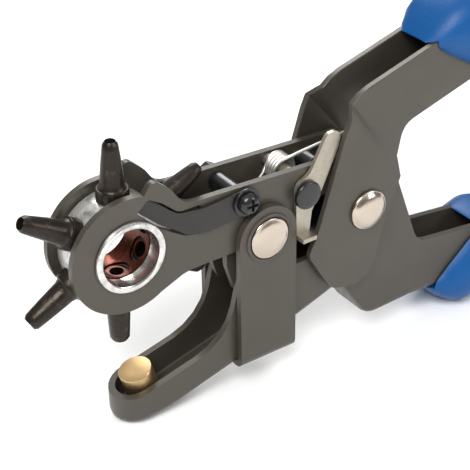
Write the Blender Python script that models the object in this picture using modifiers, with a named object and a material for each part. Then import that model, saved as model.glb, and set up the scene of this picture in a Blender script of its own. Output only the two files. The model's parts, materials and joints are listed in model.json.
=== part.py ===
"""Rotary hole punch: compound-action pliers with a six-tube turret over a brass anvil.

The tool is drawn in its own side plane: X runs from the jaws to the grips, Z up, Y across.
The turret's centre is the drawing's origin. The last step pitches the whole tool until the
nose of the lower jaw and the lower grip stand on the same level, and puts the origin under
the middle of its box. Each moving body hangs on an empty that sits on its joint's axis.
"""
import math

import bmesh
import bpy
import numpy as np
from mathutils import Matrix, Vector

MM = 0.001

# clearances
GAP = 0.3 * MM
SHAFT_PLAY = 0.3 * MM

# sheet metal
SHEET = 2.0 * MM
LINK_SHEET = 2.2 * MM
BLIND_SKIN = 0.8 * MM
EDGE_ROUND = 0.35 * MM
BEND = 2.6 * MM

# widths across the tool, from its middle plane to the outside of each layer
JAW_HALF = 7.8 * MM
FRAME_SLIM = 0.2 * MM
WASHER_SPACE = 1.4 * MM
FRAME_HALF = JAW_HALF - FRAME_SLIM
CHEEK_HALF = FRAME_HALF + WASHER_SPACE + SHEET
LINK_HALF = JAW_HALF + GAP + LINK_SHEET
GRIP_CHANNEL_HALF = JAW_HALF

# turret
DRUM_RADIUS = 14.7 * MM
DRUM_HALF = JAW_HALF - SHEET - GAP
SLUG_BORE = 8.3 * MM
BUSH_SPIGOT = 9.2 * MM
BUSH_BORE = 8.5 * MM
BUSH_FLANGE = 10.6 * MM
BUSH_FLANGE_THICK = 0.9 * MM
SPIGOT_DEPTH = 1.7 * MM
TUBE_COUNT = 6
TUBE_TIP = 31.0 * MM
TUBE_FIRST_ANGLE = math.radians(28.85)
TUBE_STEM = 3.2 * MM
TUBE_BASE = 3.4 * MM
COLLAR_RADIUS = 4.5 * MM
COLLAR_FOOT = DRUM_RADIUS - 0.5 * MM
COLLAR_TOP = COLLAR_FOOT + 3.2 * MM
PUNCH_BORES = [2.0 * MM, 2.5 * MM, 3.0 * MM, 3.5 * MM, 4.0 * MM, 4.5 * MM]
TUBE_WALL = 0.75 * MM

# pivots in the side plane (x, z)
HUB = (0.0, 0.0)
JAW_PIVOT = (43.2 * MM, -8.8 * MM)
LINK_FOOT = (43.2 * MM, -49.1 * MM)
HANDLE_PIVOT = (78.3 * MM, -11.5 * MM)
LEVER_PIVOT = (56.8 * MM, 0.2 * MM)
DRIVE_POINT = (62.9 * MM, -18.2 * MM)
SPRING_CENTRE = (54.5 * MM, 5.4 * MM)
DETENT_SCREW = (36.5 * MM, 4.7 * MM)
TAIL_RIVETS = [(66.0 * MM, 2.6 * MM), (77.0 * MM, 1.6 * MM)]
JAW_PIVOT_TRAVEL = Vector((-4.9 * MM, -0.3 * MM))
DRIVE_SLIP = Vector((1.4 * MM, -0.8 * MM))

# upper jaw
EYE_RADIUS = 17.3 * MM
JAW_TOP = 9.6 * MM
JAW_BOTTOM = -11.3 * MM
TAIL_BOTTOM = -3.4 * MM
TAIL_RADIUS = 7.0 * MM
JAW_LOBE = 9.0 * MM

# lower jaw and anvil
NOSE_CENTRE_X = 2.9 * MM
ANVIL_FACE = (3.3 * MM, -43.7 * MM)
ANVIL_RADIUS = 5.0 * MM
ANVIL_STEM = 2.4 * MM
ANVIL_TILT = math.radians(16.3)

# handles
HANDLE_DEPTH = 19.3 * MM
CHANNEL_END = 207.0 * MM
UPPER_SLOPE = 0.2924
LOWER_SLOPE = -0.12
CREASE_POINT = (87.1 * MM, 8.0 * MM)
CREASE_ANGLE = math.radians(-51.4)

# saddle link
LINK_HALF_WIDTH = 9.8 * MM
LINK_BOTTOM = -51.6 * MM

# rivets, pins and screw
RIVET_SHANK = 3.0 * MM
RIVET_HEAD = 6.3 * MM
WASHER_RIM = 6.0 * MM
JAW_HEAD_HEIGHT = 1.5 * MM
HANDLE_HEAD_HEIGHT = 2.4 * MM
PIN_RADIUS = 2.0 * MM
LEVER_SHANK = 1.8 * MM
LEVER_HEAD = 4.3 * MM
SCREW_SHANK = 1.9 * MM
SCREW_HEAD = 3.25 * MM
WASHER_RADIUS = 4.3 * MM

# springs and lever
DETENT_THICK = 0.8 * MM
LEVER_THICK = 1.2 * MM
WIRE = 0.5 * MM
COIL_RADIUS = 3.8 * MM
COIL_TURNS = 4

# grips
GRIP_WALL = 2.6 * MM
GRIP_TAIL = 8.0 * MM
GRIP_END = CHANNEL_END + GRIP_TAIL
GUARD = 8.5 * MM

ROUND = 36
SMALL_ROUND = 20

UP_FROM_SIDE = Matrix.Rotation(math.radians(90), 4, "X")

STEEL = ("lacquered_steel", (0.125, 0.108, 0.088), 0.38, 0.75)
CHROME = ("rivet_chrome", (0.78, 0.72, 0.64), 0.18, 1.0)
ZINC = ("lever_zinc", (0.66, 0.62, 0.54), 0.35, 0.9)
BLACK = ("black_oxide", (0.02, 0.02, 0.022), 0.4, 0.6)
TUBE_STEEL = ("tube_bronze_black", (0.05, 0.042, 0.036), 0.42, 0.7)
CAST = ("cast_aluminium", (0.72, 0.72, 0.70), 0.45, 0.9)
BRASS = ("anvil_brass", (0.72, 0.47, 0.2), 0.3, 1.0)
BLUE = ("grip_blue", (0.0, 0.13, 0.47), 0.42, 0.0)
SPRING = ("spring_wire", (0.75, 0.73, 0.68), 0.2, 1.0)


# ---------------------------------------------------------------- scene and material helpers

def clear_scene():
    for item in list(bpy.data.objects):
        bpy.data.objects.remove(item, do_unlink=True)


def make_collection(name):
    collection = bpy.data.collections.new(name)
    bpy.context.scene.collection.children.link(collection)
    return collection


def material(finish):
    name, colour, roughness, metallic = finish
    found = bpy.data.materials.get(name)
    if found:
        return found
    made = bpy.data.materials.new(name)
    made.use_nodes = True
    shader = made.node_tree.nodes["Principled BSDF"]
    shader.inputs["Base Color"].default_value = (*colour, 1.0)
    shader.inputs["Roughness"].default_value = roughness
    shader.inputs["Metallic"].default_value = metallic
    return made


# ---------------------------------------------------------------- outlines in the side plane

def corner_arc(before, corner, after, radius):
    """Points of the fillet that rounds one corner and takes no more than half of a side."""
    corner = Vector(corner)
    back = Vector(before) - corner
    ahead = Vector(after) - corner
    room = 0.49 * min(back.length, ahead.length)
    back.normalize()
    ahead.normalize()
    opening = math.acos(max(-1.0, min(1.0, back.dot(ahead))))
    reach = min(radius / math.tan(opening / 2), room)
    radius = reach * math.tan(opening / 2)
    centre = corner + (back + ahead).normalized() * (radius / math.sin(opening / 2))
    start = corner + back * reach - centre
    end = corner + ahead * reach - centre
    turn = math.atan2(start.x * end.y - start.y * end.x, start.dot(end))
    steps = max(1, round(abs(turn) / math.radians(15)))
    points = []
    for step in range(steps + 1):
        angle = turn * step / steps
        c, s = math.cos(angle), math.sin(angle)
        points.append((centre.x + start.x * c - start.y * s, centre.y + start.x * s + start.y * c))
    return points


def rounded(corners, closed=True):
    """Outline through corners (x, z, fillet radius), all in millimetres."""
    count = len(corners)
    outline = []
    for index, (x, z, radius) in enumerate(corners):
        ends = not closed and index in (0, count - 1)
        if radius == 0 or ends:
            outline.append((x * MM, z * MM))
            continue
        before = corners[index - 1]
        after = corners[(index + 1) % count]
        outline += corner_arc((before[0] * MM, before[1] * MM), (x * MM, z * MM),
                              (after[0] * MM, after[1] * MM), radius * MM)
    return outline


def arc(centre, radius, start, end, steps):
    """Points on a circle, angles in degrees from +X towards +Z."""
    points = []
    for step in range(steps + 1):
        angle = math.radians(start + (end - start) * step / steps)
        points.append((centre[0] + radius * math.cos(angle), centre[1] + radius * math.sin(angle)))
    return points


# ---------------------------------------------------------------- solids

def new_object(name, mesh):
    made = bpy.data.objects.new(name, mesh)
    bpy.context.scene.collection.objects.link(made)
    return made


def evaluated_mesh(item):
    bpy.context.view_layer.update()
    depsgraph = bpy.context.evaluated_depsgraph_get()
    mesh = bpy.data.meshes.new_from_object(item.evaluated_get(depsgraph))
    mesh.transform(item.matrix_world)
    return mesh


def bake(item):
    """Replace an object by a plain mesh of what it evaluates to, with its doubles welded."""
    mesh = evaluated_mesh(item)
    name = item.name
    bpy.data.objects.remove(item, do_unlink=True)
    weld = bmesh.new()
    weld.from_mesh(mesh)
    bmesh.ops.remove_doubles(weld, verts=weld.verts, dist=0.000002)
    bmesh.ops.recalc_face_normals(weld, faces=weld.faces)
    weld.to_mesh(mesh)
    weld.free()
    return new_object(name, mesh)


def prism(name, outline, y_low, y_high):
    """Flat outline in the side plane, filled and extruded across the tool."""
    curve = bpy.data.curves.new(name, "CURVE")
    curve.dimensions = "2D"
    curve.fill_mode = "BOTH"
    curve.extrude = (y_high - y_low) / 2
    spline = curve.splines.new("POLY")
    spline.points.add(len(outline) - 1)
    for point, (x, z) in zip(spline.points, outline):
        point.co = (x, z, 0.0, 1.0)
    spline.use_cyclic_u = True
    item = new_object(name, curve)
    item.matrix_world = Matrix.Translation((0, (y_low + y_high) / 2, 0)) @ UP_FROM_SIDE
    return bake(item)


def cylinder(name, centre, radius, y_low, y_high, sides=ROUND):
    """Round bar across the tool, centred on a point of the side plane."""
    mesh = bpy.data.meshes.new(name)
    form = bmesh.new()
    bmesh.ops.create_cone(form, cap_ends=True, segments=sides, radius1=radius, radius2=radius,
                          depth=y_high - y_low)
    form.to_mesh(mesh)
    form.free()
    mesh.transform(Matrix.Translation((centre[0], (y_low + y_high) / 2, centre[1])) @ UP_FROM_SIDE)
    return new_object(name, mesh)


def box(name, low, high):
    mesh = bpy.data.meshes.new(name)
    form = bmesh.new()
    bmesh.ops.create_cube(form, size=1.0)
    form.to_mesh(mesh)
    form.free()
    low, high = Vector(low), Vector(high)
    mesh.transform(Matrix.Translation((low + high) / 2) @ Matrix.Diagonal((*(high - low), 1.0)))
    return new_object(name, mesh)


def turned(name, profile, steps, placement):
    """Solid of revolution about local Z from (radius, height) points, outer side top to bottom."""
    mesh = bpy.data.meshes.new(name)
    points = [(radius, 0.0, height) for radius, height in profile]
    edges = [(index, index + 1) for index in range(len(points) - 1)]
    if profile[0][0] > 0 and profile[-1][0] > 0:
        edges.append((len(points) - 1, 0))
    mesh.from_pydata(points, edges, [])
    item = new_object(name, mesh)
    screw = item.modifiers.new("turn", "SCREW")
    screw.axis = "Z"
    screw.steps = steps
    screw.render_steps = steps
    screw.use_merge_vertices = True
    screw.merge_threshold = 0.00001
    item.matrix_world = placement
    return bake(item)


def across(centre, y, towards_near=True):
    """Placement that stands a turned piece's +Z along -Y (near side) or +Y (far side)."""
    turn = math.radians(90 if towards_near else -90)
    return Matrix.Translation((centre[0], y, centre[1])) @ Matrix.Rotation(turn, 4, "X")


def combine(item, tool, operation):
    """Boolean that uses the tool up."""
    modifier = item.modifiers.new(operation.lower(), "BOOLEAN")
    modifier.operation = operation
    modifier.object = tool
    modifier.solver = "EXACT"
    result = bake(item)
    bpy.data.objects.remove(tool, do_unlink=True)
    return result


def cut(item, *tools):
    for tool in tools:
        item = combine(item, tool, "DIFFERENCE")
    return item


def join(item, *tools):
    for tool in tools:
        item = combine(item, tool, "UNION")
    return item


def soften(item, width=EDGE_ROUND, segments=1, angle=50):
    """Break the long sharp edges with a bevel."""
    bevel = item.modifiers.new("edge_round", "BEVEL")
    bevel.width = width
    bevel.segments = segments
    bevel.limit_method = "ANGLE"
    bevel.angle_limit = math.radians(angle)
    bevel.use_clamp_overlap = True
    return bake(item)


class Assembly:
    """Collects the finished pieces under the empties of the moving bodies."""

    def __init__(self):
        self.parts = make_collection("rotary_hole_punch")
        self.joints = make_collection("joint_axes")
        self.root = self.joint("tool_stand", None, (0.0, 0.0))

    def joint(self, name, parent, pivot):
        empty = bpy.data.objects.new(name, None)
        empty.empty_display_size = 0.01
        empty["pivot"] = pivot
        self.joints.objects.link(empty)
        origin = parent["pivot"] if parent else (0.0, 0.0)
        empty.parent = parent
        empty.location = (pivot[0] - origin[0], 0.0, pivot[1] - origin[1])
        return empty

    def place(self, item, body, finish):
        pivot = body["pivot"]
        item.data.transform(Matrix.Translation((-pivot[0], 0.0, -pivot[1])))
        item.parent = body
        item.data.materials.clear()
        item.data.materials.append(material(finish))
        item.data.shade_smooth()
        item.data.set_sharp_from_angle(angle=math.radians(35))
        for owner in list(item.users_collection):
            owner.objects.unlink(item)
        self.parts.objects.link(item)
        return item

    def stand(self):
        """Pitch the tool on to its nose and lower grip and centre it over the origin."""
        bpy.context.view_layer.update()
        points = self.world_points()
        self.root.rotation_euler = (0.0, -resting_pitch(points), 0.0)
        bpy.context.view_layer.update()
        points = self.world_points()
        low = points.min(axis=0)
        high = points.max(axis=0)
        self.root.location = (-(low[0] + high[0]) / 2, -(low[1] + high[1]) / 2, -low[2])
        bpy.context.view_layer.update()

    def world_points(self):
        clouds = []
        depsgraph = bpy.context.evaluated_depsgraph_get()
        for item in self.parts.objects:
            mesh = item.evaluated_get(depsgraph).data
            cloud = np.empty(len(mesh.vertices) * 3, dtype=np.float32)
            mesh.vertices.foreach_get("co", cloud)
            place = np.array(item.matrix_world)
            cloud = cloud.reshape(-1, 3) @ place[:3, :3].T + place[:3, 3]
            clouds.append(cloud)
        return np.concatenate(clouds)


def resting_pitch(points):
    """Angle of the line on which the nose and the lower grip both rest."""
    middle = (points[:, 0].min() + points[:, 0].max()) / 2
    nose = points[points[:, 0] < middle / 3]
    foot = nose[nose[:, 2].argmin()]
    rest = points[points[:, 0] > middle]
    slopes = (rest[:, 2] - foot[2]) / (rest[:, 0] - foot[0])
    pitch = -math.atan(slopes.min())
    # the foot of the round nose moves a little as it pitches, so the level is found again
    for _ in range(6):
        c, s = math.cos(pitch), math.sin(pitch)
        turned_z = nose[:, 0] * s + nose[:, 2] * c
        foot = nose[turned_z.argmin()]
        slopes = (rest[:, 2] - foot[2]) / (rest[:, 0] - foot[0])
        pitch = -math.atan(slopes.min())
    return pitch


# ---------------------------------------------------------------- lower jaw and lower handle

def floor_line():
    """Underside of the frame channel, from the nose centre to the end of the handle."""
    nose = NOSE_CENTRE_X / MM
    end = CHANNEL_END / MM
    return rounded([(nose, -57.65, 0), (10, -57.0, 14), (33.8, -50.7, 60), (57, -43.1, 30),
                    (72, -38.0, 5), (83.6, -55.0, 7), (104, -54.3, 40),
                    (end, -54.3 + LOWER_SLOPE * (end - 104), 0)], closed=False)


def frame_rim_corners():
    end = CHANNEL_END / MM + 10
    return [(-8, -50.3, 0), (30.4, -40.9, 18), (35.3, -19.6, 1.5), (50.5, -19.6, 2), (52.6, -23.7, 2),
            (67.5, -23.7, 3), (69.8, -4.9, 4), (91.6, -4.9, 3), (102.5, -34.1, 7),
            (end, -34.1 + LOWER_SLOPE * (end - 102.5), 0)]


def tray(name, floor, half_width, nose_x):
    """Outer skin of a channel with a round nose: floor, bend and upright walls, open at the top."""
    xs = np.array([x for x, _ in floor])
    zs = np.array([z for _, z in floor])
    nose_slope = (zs[1] - zs[0]) / (xs[1] - xs[0])

    def floor_z(x):
        if x < xs[0]:
            return zs[0] + (x - xs[0]) * nose_slope
        return float(np.interp(x, xs, zs))

    columns = [(x, Vector((0.0, -1.0))) for x in xs[::-1]]
    for step in range(1, 14):
        angle = math.pi * step / 14
        columns.append((nose_x, Vector((-math.sin(angle), -math.cos(angle)))))
    columns += [(x, Vector((0.0, 1.0))) for x in xs]
    flat = half_width - BEND
    section = [(0.0, 0.0), (flat, 0.0)]
    for step in range(1, 4):
        angle = math.radians(90) * step / 3
        section.append((flat + BEND * math.sin(angle), BEND * (1 - math.cos(angle))))
    section.append((half_width, None))
    form = bmesh.new()
    grid = []
    for x, outward in columns:
        row = []
        for reach, rise in section:
            px = x + outward.x * reach
            py = outward.y * reach
            pz = 0.0 if rise is None else floor_z(px) + rise
            row.append(form.verts.new((px, py, pz)))
        grid.append(row)
    for left, right in zip(grid, grid[1:]):
        for index in range(len(section) - 1):
            form.faces.new((left[index], left[index + 1], right[index + 1], right[index]))
    bmesh.ops.remove_doubles(form, verts=form.verts, dist=0.000001)
    mesh = bpy.data.meshes.new(name)
    form.to_mesh(mesh)
    form.free()
    item = new_object(name, mesh)
    shell = item.modifiers.new("wall", "SOLIDIFY")
    shell.thickness = SHEET
    shell.offset = -1.0
    shell.use_even_offset = True
    return bake(item)


def frame_channel():
    item = tray("frame_channel", floor_line(), FRAME_HALF, NOSE_CENTRE_X)
    above = rounded(frame_rim_corners(), closed=False)
    above += [(above[-1][0], 60 * MM), (above[0][0], 60 * MM)]
    item = soften(cut(item, prism("above_rim", above, -CHEEK_HALF, CHEEK_HALF)))
    for side in (-1, 1):
        item = join(item, *guide_ear(side))
    slot = pivot_slot(RIVET_SHANK + SHAFT_PLAY)
    item = cut(item, prism("pivot_slot", slot, -JAW_HALF, JAW_HALF))
    item = cut(item, cylinder("rivet_hole", HANDLE_PIVOT, RIVET_SHANK + SHAFT_PLAY, -CHEEK_HALF, CHEEK_HALF,
                              SMALL_ROUND))
    return cut(item, link_seat(), anvil_hole())


def guide_ear(side):
    """Inner ear of the frame that keeps the jaw plates in line, stepped in from the wall."""
    inner = 3.4 * MM
    outer = JAW_HALF - SHEET - GAP
    lap = FRAME_HALF - SHEET + 0.4 * MM
    x, z = JAW_PIVOT[0] / MM, JAW_PIVOT[1] / MM
    ear = rounded([(x - 8.2, -27, 2), (x + 7, -27, 2), (x + 7, z + 7.4, 6), (x - 11.2, z + 7.4, 6),
                   (x - 11.2, -17, 3)])
    pad = rounded([(x - 7.6, -26, 1), (x + 6.4, -26, 1), (x + 6.4, -20, 1), (x - 7.6, -20, 1)])
    plate = prism("ear", ear, *sorted((side * inner, side * outer)))
    foot = prism("ear_foot", pad, *sorted((side * (inner + 0.5 * MM), side * lap)))
    return plate, foot


def pivot_slot(radius):
    """Slot along which the jaw rivet travels as the saddle link swings."""
    start = Vector(JAW_PIVOT)
    end = start + JAW_PIVOT_TRAVEL
    heading = math.degrees(math.atan2(JAW_PIVOT_TRAVEL.y, JAW_PIVOT_TRAVEL.x))
    return arc(end, radius, heading - 90, heading + 90, 10) + arc(start, radius, heading + 90,
                                                                 heading + 270, 10)


def link_seat():
    """Shallow seat across the frame's underside for the web of the saddle link."""
    low = LINK_FOOT[0] - LINK_HALF_WIDTH - 0.4 * MM
    high = LINK_FOOT[0] + LINK_HALF_WIDTH + 0.4 * MM
    return box("link_seat", (low, -CHEEK_HALF, -60 * MM), (high, CHEEK_HALF, link_web_top() + GAP))


def link_web_top():
    return LINK_BOTTOM + LINK_SHEET


# ---------------------------------------------------------------- anvil

def anvil_placement():
    place = Matrix.Translation((ANVIL_FACE[0], 0.0, ANVIL_FACE[1]))
    return place @ Matrix.Rotation(-ANVIL_TILT, 4, "Y")


def anvil_hole():
    mesh = bpy.data.meshes.new("anvil_hole")
    form = bmesh.new()
    radius = ANVIL_STEM + GAP
    bmesh.ops.create_cone(form, cap_ends=True, segments=SMALL_ROUND, radius1=radius, radius2=radius,
                          depth=12 * MM)
    form.to_mesh(mesh)
    form.free()
    mesh.transform(anvil_placement() @ Matrix.Translation((0, 0, -13 * MM)))
    return new_object("anvil_hole", mesh)


def anvil():
    """Brass pad: flat face, stepped base and a stem peened under the floor."""
    shoulder = -10.0 * MM
    stem_end = -14.9 * MM
    edge = 0.4 * MM
    profile = [(0, 0), (ANVIL_RADIUS - edge, 0), (ANVIL_RADIUS, -edge), (ANVIL_RADIUS, shoulder),
               (ANVIL_STEM, shoulder), (ANVIL_STEM, stem_end), (0, stem_end)]
    return turned("anvil", profile, ROUND, anvil_placement())


# ---------------------------------------------------------------- upper handle

def handle_outline():
    end = CHANNEL_END / MM
    web_end = 10.0 + UPPER_SLOPE * (end - 93.8)
    rise = HANDLE_DEPTH / MM / math.sqrt(1 + UPPER_SLOPE ** 2)
    return rounded([(57.1, -20.6, 2.4), (65.9, -35.4, 6), (80.2, -38.2, 11), (85.8, -17.5, 10),
                    (90.4, -6.8, 20), (93.8, 10.0, 6), (end, web_end, 0),
                    (end - UPPER_SLOPE * rise, web_end + rise, 0), (72.2, 23.8, 16),
                    (60.9, -12.0, 30)])


def cheek_section(side):
    """Wall of the handle channel seen along its crease: narrow at the grip, wide at the pivot."""
    narrow = GRIP_CHANNEL_HALF
    wide = CHEEK_HALF
    far = 200 * MM
    start = 1.0 * MM
    end = 5.0 * MM
    return [(-far, side * (narrow - SHEET)), (start, side * (narrow - SHEET)), (end, side * (wide - SHEET)),
            (far, side * (wide - SHEET)), (far, side * wide), (end, side * wide),
            (start, side * narrow), (-far, side * narrow)]


def cheek(side):
    """One joggled cheek: the section swept along the crease, trimmed to the outline."""
    form = bmesh.new()
    along = Vector((math.cos(CREASE_ANGLE), 0.0, math.sin(CREASE_ANGLE)))
    down = Vector((math.sin(CREASE_ANGLE), 0.0, -math.cos(CREASE_ANGLE)))
    base = Vector((CREASE_POINT[0], 0.0, CREASE_POINT[1]))
    rings = []
    for reach in (-150 * MM, 150 * MM):
        ring = []
        for distance, y in cheek_section(side):
            point = base + along * reach + down * distance
            ring.append(form.verts.new((point.x, y, point.z)))
        rings.append(ring)
    count = len(rings[0])
    for index in range(count):
        after = (index + 1) % count
        form.faces.new((rings[0][index], rings[0][after], rings[1][after], rings[1][index]))
    form.faces.new(rings[0][::-1])
    form.faces.new(rings[1])
    bmesh.ops.recalc_face_normals(form, faces=form.faces)
    mesh = bpy.data.meshes.new("cheek")
    form.to_mesh(mesh)
    form.free()
    slab = new_object("cheek", mesh)
    outline = prism("outline", handle_outline(), *sorted((side * 4 * MM, side * (CHEEK_HALF + MM))))
    return combine(slab, outline, "INTERSECT")


def handle_channel():
    end = CHANNEL_END / MM - 1.0
    web_start = 97.5
    web_low = 10.0 + UPPER_SLOPE * (web_start - 93.8)
    web_high = 10.0 + UPPER_SLOPE * (end - 93.8)
    thick = SHEET / MM * math.sqrt(1 + UPPER_SLOPE ** 2)
    reach = GRIP_CHANNEL_HALF - 0.5 * MM
    outline = [(web_start * MM, web_low * MM), (end * MM, web_high * MM),
               ((end - 0.6) * MM, (web_high + thick) * MM), ((web_start - 0.6) * MM, (web_low + thick) * MM)]
    web = prism("handle_channel", outline, -reach, reach)
    item = soften(join(web, cheek(-1), cheek(1)))
    through = CHEEK_HALF + MM
    item = cut(item, cylinder("rivet_hole", HANDLE_PIVOT, RIVET_SHANK + SHAFT_PLAY, -through, through,
                              SMALL_ROUND))
    reach = CHEEK_HALF - BLIND_SKIN
    return cut(item, cylinder("pin_seat", DRIVE_POINT, PIN_RADIUS + GAP, -reach, reach, SMALL_ROUND))


def drive_pin():
    reach = CHEEK_HALF - BLIND_SKIN - GAP
    return cylinder("drive_pin", DRIVE_POINT, PIN_RADIUS, -reach, reach, SMALL_ROUND)


# ---------------------------------------------------------------- saddle link

def saddle_link():
    """U strap: two cheeks outside the jaw plates and a web under the lower jaw."""
    low_x = JAW_PIVOT[0] - LINK_HALF_WIDTH
    high_x = JAW_PIVOT[0] + LINK_HALF_WIDTH
    outer = LINK_HALF
    inner = LINK_HALF - LINK_SHEET
    bend_out = 3.2 * MM
    bend_in = bend_out - LINK_SHEET
    top = JAW_PIVOT[1] + LINK_HALF_WIDTH + 2 * MM
    bottom = LINK_BOTTOM

    def bend(side, radius, edge, floor):
        centre = (side * (edge - radius), floor + radius)
        start, end = (180, 270) if side < 0 else (270, 360)
        return arc(centre, radius, start, end, 5)

    outline = [(-outer, top)] + bend(-1, bend_out, outer, bottom) + bend(1, bend_out, outer, bottom)
    outline += [(outer, top), (inner, top)]
    outline += bend(1, bend_in, inner, bottom + LINK_SHEET)[::-1]
    outline += bend(-1, bend_in, inner, bottom + LINK_SHEET)[::-1]
    outline += [(-inner, top)]
    strap = prism("saddle_link", outline, low_x, high_x)
    strap.data.transform(Matrix.Rotation(math.radians(90), 4, "Z"))
    strap.data.transform(Matrix.Scale(-1, 4, (1, 0, 0)))
    strap.data.flip_normals()
    crown = arc(JAW_PIVOT, LINK_HALF_WIDTH, 0, 180, 22)
    side_view = crown + [(low_x, bottom - MM), (high_x, bottom - MM)]
    strap = combine(strap, prism("side_view", side_view, -LINK_HALF - MM, LINK_HALF + MM), "INTERSECT")
    strap = soften(strap, 0.5 * MM, 2)
    reach = LINK_HALF + MM
    return cut(strap, cylinder("rivet_hole", JAW_PIVOT, RIVET_SHANK + GAP, -reach, reach, SMALL_ROUND))


# ---------------------------------------------------------------- rivets

def headed_rivet(name, centre, shank, head, height, grip_half):
    """Rivet across the tool with a shallow crowned head on both sides."""
    face = grip_half + GAP
    top = face + height
    rim = 0.5 * MM
    crown = 0.25 * MM
    profile = [(0, top), (head * 0.55, top - crown * 0.3), (head - rim, top - crown),
               (head, top - crown - rim), (head, face), (shank, face), (shank, -face), (head, -face),
               (head, -top + crown + rim), (head - rim, -top + crown), (head * 0.55, -top + crown * 0.3),
               (0, -top)]
    return turned(name, profile, ROUND, across(centre, 0.0))


def plain_washer(name, centre, bore, radius, y_low, y_high):
    half = (y_high - y_low) / 2
    profile = [(bore, half), (radius, half), (radius, -half), (bore, -half)]
    return turned(name, profile, 24, across(centre, (y_low + y_high) / 2))


# ---------------------------------------------------------------- upper jaw

def jaw_outline():
    """Side plate: round turret eye, shoulder bump, straight neck, pivot lobe and round tail."""
    eye = EYE_RADIUS / MM
    neck = rounded([(5.2, eye * 0.955, 0), (8.2, 20.6, 3.0), (13.6, 15.6, 3), (17.6, JAW_TOP / MM, 7),
                    (71.5, JAW_TOP / MM, 16)], closed=False)[:-1]
    tail_centre = (78.0 * MM, TAIL_BOTTOM + 3.6 * MM)
    tail_foot = math.degrees(math.asin((TAIL_BOTTOM - tail_centre[1]) / TAIL_RADIUS))
    tail = arc(tail_centre, TAIL_RADIUS, 100, tail_foot, 12)
    under = rounded([(83.0, TAIL_BOTTOM / MM, 0), (60.0, TAIL_BOTTOM / MM, 4), (52.4, -11.0, 2),
                     (50.9, -13.2, 0)], closed=False)
    lobe = arc(JAW_PIVOT, JAW_LOBE, -30, -150, 10)
    throat = rounded([(33.8, JAW_BOTTOM / MM, 0), (17.5, JAW_BOTTOM / MM, 8), (9.4, -14.6, 0)], closed=False)
    circle = arc(HUB, EYE_RADIUS, -58.0, -287.5, 40)
    return neck + tail + under + lobe + throat + circle


def detent_slot():
    return rounded([(2.6, 12.0, 0.8), (6.4, 15.2, 0.8), (10.6, 12.6, 3), (15.4, 8.2, 4), (22.6, 8.0, 0.8),
                    (22.6, -1.0, 0.8), (17.4, 0.0, 4), (9.4, 5.2, 3)])


def jaw_plate(name, side):
    low, high = sorted((side * (JAW_HALF - SHEET), side * JAW_HALF))
    item = soften(prism(name, jaw_outline(), low, high))
    reach = (low - MM, high + MM)
    holes = [("eye", HUB, BUSH_SPIGOT + GAP, ROUND),
             ("pivot", JAW_PIVOT, RIVET_SHANK + SHAFT_PLAY, SMALL_ROUND),
             ("screw", DETENT_SCREW, SCREW_SHANK + GAP, SMALL_ROUND)]
    if side < 0:
        holes.append(("lever", LEVER_PIVOT, LEVER_SHANK + GAP, SMALL_ROUND))
    for hole, centre, radius, sides in holes:
        item = cut(item, cylinder(hole, centre, radius, *reach, sides))
    blind = JAW_HALF - BLIND_SKIN
    for centre in (SPRING_CENTRE, *TAIL_RIVETS):
        item = cut(item, cylinder("pin_seat", centre, PIN_RADIUS + GAP, -blind, blind, SMALL_ROUND))
    if side < 0:
        item = cut(item, prism("slot", detent_slot(), *reach))
    return item


def hub_bush(name, near):
    """Eyelet: rolled flange outside the jaw plate, spigot inside the drum's counterbore."""
    flange_face = JAW_HALF + GAP
    outer = flange_face + BUSH_FLANGE_THICK
    inner = DRUM_HALF - SPIGOT_DEPTH + GAP
    mid = (BUSH_BORE + BUSH_FLANGE) / 2
    profile = [(BUSH_BORE, outer - 0.5 * MM), (BUSH_BORE + 0.25 * MM, outer - 0.15 * MM), (mid, outer),
               (BUSH_FLANGE - 0.3 * MM, outer - 0.2 * MM), (BUSH_FLANGE, flange_face + 0.2 * MM),
               (BUSH_FLANGE, flange_face), (BUSH_SPIGOT, flange_face), (BUSH_SPIGOT, inner),
               (BUSH_BORE, inner)]
    return turned(name, profile, ROUND, across(HUB, 0.0, near))


def detent_spring():
    """Flat spring: lies on the near plate under the screw, dips through the slot to the drum."""
    x, z = DETENT_SCREW[0] / MM, DETENT_SCREW[1] / MM
    outline = rounded([(3.4, 11.9, 0.5), (6.3, 14.3, 0.5), (10.2, 11.9, 3), (15.2, 7.6, 4), (24, 7.4, 2),
                       (x + 3.9, z + 3.9, 3.6), (x + 3.9, z - 3.9, 3.6), (24, -0.6, 3), (17.6, 0.6, 4),
                       (9.8, 5.8, 3)])
    plan = prism("detent_spring", outline, -LINK_HALF - MM, 0.0)
    seat = -(JAW_HALF + GAP)
    tip = -(DRUM_HALF + GAP)
    tip_x, bend_x, end_x = 10 * MM, 21.5 * MM, 50 * MM
    thick = DETENT_THICK
    track = [(0.0, tip), (tip_x, tip), (bend_x, seat), (end_x, seat), (end_x, seat - thick),
             (bend_x, seat - thick), (tip_x, tip - thick), (0.0, tip - thick)]
    band = prism("band", track, -20 * MM, 30 * MM)
    band.data.transform(UP_FROM_SIDE.inverted())
    item = combine(plan, band, "INTERSECT")
    hole = cylinder("hole", DETENT_SCREW, SCREW_SHANK + GAP, -LINK_HALF, 0.0, SMALL_ROUND)
    return cut(item, hole)


def detent_layers():
    """Outer faces of the spring and of the washer, measured from the middle plane."""
    spring_face = JAW_HALF + GAP + DETENT_THICK
    washer_face = spring_face + GAP + 0.6 * MM
    return spring_face, washer_face


def detent_washer():
    spring_face, washer_face = detent_layers()
    return plain_washer("detent_washer", DETENT_SCREW, SCREW_SHANK + GAP, WASHER_RADIUS, -washer_face,
                        -spring_face - GAP)


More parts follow.
